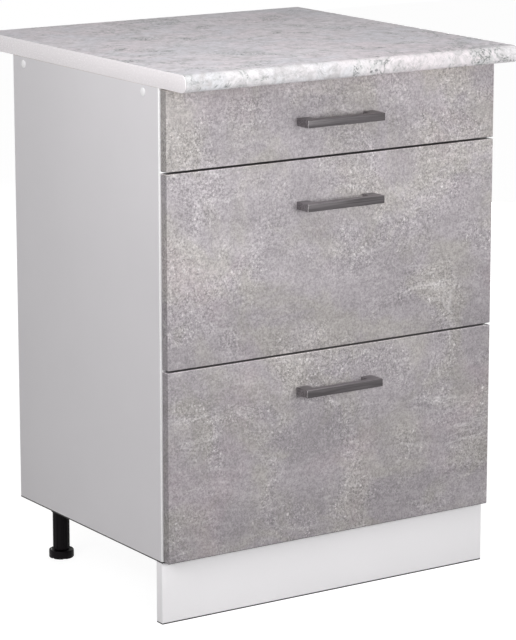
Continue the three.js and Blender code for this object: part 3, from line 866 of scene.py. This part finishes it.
def addWorktop():
    low, high = boxOf("worktop")
    skin = worktop["laminate"]
    laminate = outward(noseSheet(low.x, high.x, 0, high.y, low.y + worktop["wrapUnder"]))
    if max(laminate.faces, key=lambda f: f.calc_area()).normal.z < 0:
        bmesh.ops.reverse_faces(laminate, faces=laminate.faces)
    bmesh.ops.solidify(laminate, geom=laminate.faces[:], thickness=skin * mm)
    addPiece("worktop_laminate", outward(laminate), "carcass", ["stone_laminate"], "stone_laminate",
             ["worktop"])
    core = noseBar(low.x, high.x, skin + worktop["coreGap"])
    addPiece("worktop_core", core, "carcass", ["chipboard", "backing_paper"], sharp=30,
             pick=lambda face: int(face.normal.z < -0.9))
    for label, sign in sides:
        node = "worktop_edging_" + label
        ends = [corner.x for corner in boxOf(node)]
        band = noseBar(*ends, 0)
        outer = ends[sign > 0]
        rounded(band, lambda e: all(abs(v.co.x / mm - outer) < 0.01 for v in e.verts), worktop["bandEase"], 2)
        addPiece(node + "_band", band, "carcass", ["end_band"], "end_band", [node])


# legs: a fluted tube under a screwed flange, and a threaded foot that turns in it
leg = {
    "flange": 56, "flangeThickness": 4, "flangeCorner": 8, "flangeEase": 0.6, "screwSpread": 20,
    "collar": 15.5, "collarBase": 76, "shaft": 13.5, "bore": 10, "boreTop": 86, "top": 96,
    "steps": 72, "flutes": 12, "fluteWidth": 2, "fluteDepth": 0.5,  # the width in steps
    "gap": 0.3, "lowerBand": 3, "upperBand": 2, "ease": 0.5,
}
foot = {
    "radius": 20, "height": 13, "rim": 1.5, "dishEdge": 3, "dishDepth": 1, "stem": 8.7, "thread": 9.6,
    "pitch": 4, "top": 70, "notches": 6, "notchTurn": 15, "notchWidth": 5, "notchReach": 3,
    "notchHeight": 1.5, "ridge": 0.32, "ridgeSteps": 24,  # half the ridge's width as a share of the pitch
}


def legTube():
    shaft, collarBase, top = leg["shaft"], leg["collarBase"], leg["top"]
    base = foot["height"] + leg["gap"]
    bm = turned([
        (0, leg["boreTop"]), (leg["bore"], leg["boreTop"]), (leg["bore"], base), (shaft, base),
        (shaft, base + leg["lowerBand"]), (shaft, collarBase - leg["upperBand"]), (shaft, collarBase),
        (leg["collar"], collarBase), (leg["collar"], top - 1), (0, top - 1),
    ], leg["steps"])
    middle = (base + collarBase) / 2 * mm
    flute = []
    for face in bm.faces:
        centre = face.calc_center_median()
        column = int((math.atan2(centre.y, centre.x) / math.tau % 1) * leg["steps"])
        if (math.hypot(centre.x, centre.y) >= (shaft - 0.5) * mm and abs(centre.z - middle) <= 3 * mm
                and column % (leg["steps"] // leg["flutes"]) < leg["fluteWidth"]):
            flute.append(face)
    sunk = bmesh.ops.extrude_face_region(bm, geom=flute)["geom"]
    bmesh.ops.delete(bm, geom=flute, context="FACES_ONLY")
    shrink = 1 - leg["fluteDepth"] / shaft
    bmesh.ops.scale(bm, vec=(shrink, shrink, 1), verts=vertsOf(sunk))
    outward(bm)
    rounded(bm, lambda e: turnsBy(e, 60) and not rises(e)
            and min(math.hypot(v.co.x, v.co.y) for v in e.verts) > (shaft - 0.1) * mm, leg["ease"], 2)
    half = leg["flange"] / 2
    plate = slab((-half, -half, top - leg["flangeThickness"]), (half, half, top))
    rounded(plate, rises, leg["flangeCorner"], 8)
    softened(plate, leg["flangeEase"], 2, 60)
    return poured(bm, plate)


def footDisc():
    rim, radius, height = foot["rim"], foot["radius"], foot["height"]
    dish, floor = radius - foot["dishEdge"], height - foot["dishDepth"]
    profile = [(0, 0), (radius - rim, 0)]
    for start, level in ((-90, rim), (0, height - rim)):
        for step in range(5):
            angle = math.radians(start + 22.5 * step)
            profile.append((radius - rim + rim * math.cos(angle), level + rim * math.sin(angle)))
    profile += [(dish, height), (dish - foot["dishDepth"], floor), (foot["stem"], floor),
                (foot["stem"], foot["top"]), (0, foot["top"])]
    return turned(profile, leg["steps"])


def stemThread():
    # a ridge drawn up the stem in a helix
    bm = bmesh.new()
    start = foot["height"] + 1
    turns = int((foot["top"] - start) / foot["pitch"]) - 1
    half = foot["pitch"] * foot["ridge"]
    inner, outer = foot["stem"] - 0.3, foot["thread"]
    ring = [bm.verts.new((r * mm, 0, (start + z) * mm)) for r, z in (
        (inner, 0), (outer, half * 0.8), (outer, half * 1.2), (inner, half * 2))]
    edges = [bm.edges.new((ring[i], ring[(i + 1) % 4])) for i in range(4)]
    steps = foot["ridgeSteps"] * turns
    last = bmesh.ops.spin(bm, geom=[*ring, *edges], cent=(0, 0, 0), axis=(0, 0, 1), angle=math.tau * turns,
                          dvec=(0, 0, foot["pitch"] * turns / steps * mm), steps=steps)["geom_last"]
    bmesh.ops.contextual_create(bm, geom=edges)
    bmesh.ops.contextual_create(bm, geom=[e for e in last if isinstance(e, bmesh.types.BMEdge)])
    return outward(bm)


def carved(bm, cutters):
    # cuts bm with the cutters by a Boolean modifier, and gives back the result
    whole, cutter = meshObject("whole", bm), meshObject("cutter", cutters)
    modifier = whole.modifiers.new("cut", "BOOLEAN")
    modifier.operation = "DIFFERENCE"
    modifier.solver = "EXACT"
    modifier.object = cutter
    result = bmesh.new()
    result.from_object(whole, bpy.context.evaluated_depsgraph_get())
    for thing in (whole, cutter):
        mesh = thing.data
        bpy.data.objects.remove(thing)
        bpy.data.meshes.remove(mesh)
    return result


def footPad():
    # the disc with notches under its rim
    half, radius = foot["notchWidth"] / 2, foot["radius"]
    tooth = slab((radius - foot["notchReach"], -half, -1), (radius + 1, half, foot["notchHeight"]))
    places = []
    for index in range(foot["notches"]):
        turn = math.radians(foot["notchTurn"] + 360 * index / foot["notches"])
        places.append(Matrix.Rotation(turn, 4, "Z"))
    return carved(footDisc(), copies(tooth, *places))


def addLegs():
    spread = leg["screwSpread"]
    for row in ("front", "rear"):
        for label, _ in sides:
            tag = f"{row}_{label}"
            x, y, _ = centreOf("leg_" + tag)
            place = Matrix.Translation((x * mm, y * mm, 0))
            black = ["black_plastic"], "black_plastic"
            addPiece(f"leg_{tag}_tube", copies(legTube(), place), "carcass", *black, ["leg_" + tag])
            pad = poured(copies(footPad(), place), stemThread(), place)
            addPiece(f"foot_{tag}_pad", pad, "foot_" + tag, *black, ["foot_" + tag])
            corners = [(x + a * spread, y + b * spread, leg["top"] - leg["flangeThickness"])
                       for a in (-1, 1) for b in (-1, 1)]
            addScrews(f"leg_screws_{tag}", "board", "carcass", (0, 0, -1), corners)


clip = {"plate": 3, "screwX": 14, "screwZ": 18}


def addPlinth():
    low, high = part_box("plinth")
    low.z += board["darkStrip"] * mm
    addDarkStrip("plinth", "plinth_board")
    bm = block(low, high, board["plinthEase"], 3)
    addPiece("plinth_board", bm, "carcass", ["plinth_face"], "plinth_board", ["plinth"])
    for label, _ in sides:
        node = "plinth_clip_" + label
        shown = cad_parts[node].data.materials
        shown.clear()
        shown.append(materials["black_plastic"])
        x, _, z = centreOf(node)
        plateY = boxOf(node)[0].y + clip["plate"]
        places = [(x + a * clip["screwX"], plateY, z + b * clip["screwZ"]) for a in (-1, 1) for b in (-1, 1)]
        addScrews("plinth_clip_screws_" + label, "small", "carcass", (0, 1, 0), places)


# drawer fronts: a printed face with glued bands round it, and a white inside
# lowerEase rounds each front's lower arris, and so sets how wide its painted shade shows
front = {"ease": 0.9, "lowerEase": {"top": 1.0, "middle": 0.8, "bottom": 2.0}}


def addFront(drawer):
    node = "drawer_front_" + drawer
    low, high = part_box(node)
    middle = (low + high) / 2
    bm = block(low, high)
    rounded(bm, lambda e: all(v.co.z < middle.z and v.co.y < middle.y for v in e.verts),
            front["lowerEase"][drawer], 4)
    softened(bm, front["ease"], 3, 60)

    def pick(face):
        # the inside; the lower arris and edge, painted nearly black as shade; the other edges, painted darker
        # as shade; the upper arris, painted lighter as a highlight; and the face
        way = face.normal
        if way.y > 0.99:
            return 4
        if way.z < -0.2:
            return 3
        if max(abs(way.x), way.z) > 0.99:
            return 2
        return 1 if way.z > 0.2 else 0

    finishes = ["concrete_face", "concrete_rim", "concrete_edge", "concrete_under", "white_melamine"]
    addPiece(f"front_panel_{drawer}", bm, "drawer_" + drawer, finishes, "concrete_front", [node], pick=pick)


# bar handles: a square bar carried on two feet, all one bent piece with crisp, eased corners
handle = {"foot": 20, "bar": 12, "corner": 0.9, "ease": 0.7, "screwPitch": 128}


def addHandle(drawer):
    node = "handle_" + drawer
    body = "drawer_" + drawer
    low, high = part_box(node)
    half = (high.x - low.x) / 2
    bm = bmesh.new()
    rear, inner = high.y, low.y + handle["bar"] * mm
    step = half - handle["foot"] * mm
    plan = [(-half, rear), (-half, low.y), (half, low.y), (half, rear),
            (step, rear), (step, inner), (-step, inner), (-step, rear)]
    base = bm.faces.new([bm.verts.new((x, y, low.z)) for x, y in plan])
    lifted = bmesh.ops.extrude_face_region(bm, geom=[base])["geom"]
    bmesh.ops.translate(bm, vec=(0, 0, high.z - low.z), verts=vertsOf(lifted))
    outward(bm)
    rounded(bm, lambda e: rises(e) and abs(abs(e.verts[0].co.x) - half) < 1e-6
            and abs(e.verts[0].co.y - low.y) < 1e-6, handle["corner"], 4)
    softened(bm, handle["ease"], 3, 40)

    def pick(face):
        # the front of the bar; the faces that turn away from it, painted lighter as if lit; and the end
        # corners, painted with a highlight
        if face.normal.y < -0.9:
            return 0
        atCorner = abs(face.calc_center_median().x) > 0.985 * half and abs(face.normal.z) < 0.3
        return 2 if atCorner and max(abs(face.normal.x), abs(face.normal.y)) < 0.96 else 1

    finishes = ["graphite", "graphite_painted_light", "graphite_painted_highlight"]
    addPiece(f"bar_handle_{drawer}", bm, body, finishes, "graphite", [node], pick=pick)
    insideY = boxOf("drawer_front_" + drawer)[1].y
    z = (low.z + high.z) / 2 / mm
    spots = [(sign * handle["screwPitch"] / 2, insideY, z) for _, sign in sides]
    addScrews(f"handle_screws_{drawer}", "handle", body, (0, 1, 0), spots)


# drawer boxes: bent steel sides with a runner lip, on nylon rollers
steel = {
    "wall": 271.5,  # outer face of a drawer's side, from the middle
    "sheet": 1.2, "bend": 1.8, "bottomFlange": 16, "topFlange": 4.3, "ease": 0.35, "sunk": 0.6,
    "lipFront": -226, "lipEdge": 281.5, "lipThickness": 1.2, "lipGap": 0.3, "rollerGap": 3,
    "trayBoard": 16, "tab": 16, "tabGap": 5,
    "beads": (0.42, 0.72), "beadHeight": 7, "beadDepth": 1.1, "beadSunk": 0.2, "beadInset": 34,
    "beadRound": 0.9,
    "screwIn": 9, "tabScrew": 8, "tabTop": {"top": 40, "middle": 42, "bottom": 42},
    "trayScrew": 40, "trayPitch": 105,
}
rail = {
    "sheet": 1.2, "bend": 1.6, "flange": 11, "wheelRoom": 14, "overlap": 2, "ease": 0.3,
    "screw": 45, "screwPitch": 150,
}
pin = {"radius": 2.5, "head": 4, "headHeight": 1, "sunk": 0.6, "width": 7.6}
wheel = {
    "half": 3.5, "radius": 8, "edge": 0.7, "crown": 0.2, "bore": 2.8,
    "groove": (4.2, 4.6, 6.4, 6.8), "grooveDepth": 0.7,
}


def rollerPin(shoulder):
    head, seat = pin["head"], shoulder + pin["width"]
    return turned([
        (0, -pin["sunk"]), (head, -pin["sunk"]), (head, shoulder), (pin["radius"], shoulder),
        (pin["radius"], seat), (head, seat), (head * 0.9, seat + pin["headHeight"] * 0.6),
        (head * 0.55, seat + pin["headHeight"]), (0, seat + pin["headHeight"]),
    ], 32)


def rollerWheel():
    half, radius, edge, bore = (wheel[key] for key in ("half", "radius", "edge", "bore"))
    groove, bottom = wheel["groove"], wheel["grooveDepth"] - half
    lower = [(bore, -half), (groove[0], -half), (groove[1], bottom), (groove[2], bottom), (groove[3], -half),
             (radius - edge, -half), (radius - wheel["crown"], edge * 0.4 - half), (radius, edge - half)]
    return turned(lower + [(r, -z) for r, z in reversed(lower)], 48, closed=True)


def drawerSide(drawer):
    # modelled for the right side
    low, high = boxOf(f"drawer_side_{drawer}_right")
    roller = f"drawer_roller_{drawer}_right"
    wall, sheet, sunk, ease = (steel[key] for key in ("wall", "sheet", "sunk", "ease"))
    frontY, rearY, base, top = low.y, high.y, low.z, high.z
    # corners run down the outside, so that the thickness goes inwards
    bm = steelStrip([(wall - sheet - steel["topFlange"], top), (wall, top), (wall, base),
                     (wall - sheet - steel["bottomFlange"], base)], frontY, rearY, sheet, steel["bend"])
    lipBase = boxOf(f"cabinet_roller_{drawer}_right")[1].z + steel["lipGap"]
    lipRear = boxOf(roller)[0].y - steel["rollerGap"]
    poured(bm, slab((wall - sunk, steel["lipFront"], lipBase),
                    (steel["lipEdge"], lipRear, lipBase + steel["lipThickness"]), ease))
    tabBase = base + 2 * sheet + steel["trayBoard"] + steel["tabGap"]
    poured(bm, slab((wall - sheet - steel["tab"], frontY, tabBase),
                    (wall - sunk, frontY + sheet, top - sheet - steel["tabGap"]), ease))
    inset, half = steel["beadInset"], steel["beadHeight"] / 2
    for share in steel["beads"] if drawer != "top" else ():
        z = base + (top - base) * share
        poured(bm, slab((wall - sheet - steel["beadDepth"], frontY + inset, z - half),
                        (wall - steel["beadSunk"], rearY - inset, z + half), steel["beadRound"], 4))
    _, y, z = centreOf(roller)
    poured(bm, rollerPin(2), facing((1, 0, 0), (wall, y, z)))
    screwX = wall - sheet - steel["screwIn"]
    screws = [(screwX, frontY + sheet, tabBase + dz)
              for dz in (steel["tabScrew"], top - base - steel["tabTop"][drawer])]
    under = [(screwX, frontY + steel["trayScrew"] + steel["trayPitch"] * index, base) for index in range(4)]
    return bm, screws, under


def cabinetRunner(drawer):
    # modelled for the right side: web against the panel, flanges towards the drawer
    low, high = boxOf(f"cabinet_runner_{drawer}_right")
    _, y, z = centreOf(f"cabinet_roller_{drawer}_right")
    flangeFront = y + rail["wheelRoom"]
    sheet, outer, base, top = rail["sheet"], high.x, low.z, high.z
    inner = outer - rail["flange"]
    bm = steelStrip([(inner, base), (outer, base), (outer, top), (inner, top)],
                    flangeFront, high.y, sheet, rail["bend"])
    poured(bm, slab((outer - sheet, low.y, base), (outer, flangeFront + rail["overlap"], top), rail["ease"]))
    poured(bm, rollerPin(1), facing((-1, 0, 0), (outer - sheet, y, z)))
    screws = [(outer - sheet, y + rail["screw"] + rail["screwPitch"] * index, (base + top) / 2)
              for index in range(3)]
    return bm, screws


def addDrawerBox(drawer):
    body = "drawer_" + drawer
    addBoard(f"drawer_bottom_{drawer}", "tray", body)
    addBoard(f"drawer_back_{drawer}", "trayBack", body)
    for label, sign in sides:
        turn = Matrix() if sign > 0 else mirrorX
        tag = f"{drawer}_{label}"
        side, tabScrews, underScrews = drawerSide(drawer)
        runner, webScrews = cabinetRunner(drawer)
        for name, bm, rides, node in (("steel_side_", side, body, "drawer_side_"),
                                      ("runner_rail_", runner, "carcass", "cabinet_runner_")):
            addPiece(name + tag, copies(bm, turn), rides, ["white_steel"], "white_steel", [node + tag])
        flip = Vector((sign, 1, 1))
        for name, rides, way, spots in (("tab_screws_", body, (0, 1, 0), tabScrews),
                                        ("tray_screws_", body, (0, 0, -1), underScrews),
                                        ("runner_screws_", "carcass", (-sign, 0, 0), webScrews)):
            addScrews(name + tag, "small", rides, way, [Vector(spot) * flip for spot in spots])
        for kind in ("cabinet", "drawer"):
            node = f"{kind}_roller_{tag}"
            wheels = copies(rollerWheel(), facing((1, 0, 0), centreOf(node)))
            addPiece(f"{kind}_wheel_{tag}", wheels, node, ["grey_nylon"], "grey_nylon", [node])


addWorktop()
print("worktop is built")
addCarcass()
addNails()
addScrewCaps()
print("carcass is built")
addLegs()
addPlinth()
print("legs and plinth are built")
for drawer in drawers:
    addFront(drawer)
    addHandle(drawer)
    addDrawerBox(drawer)
print("drawers are built")
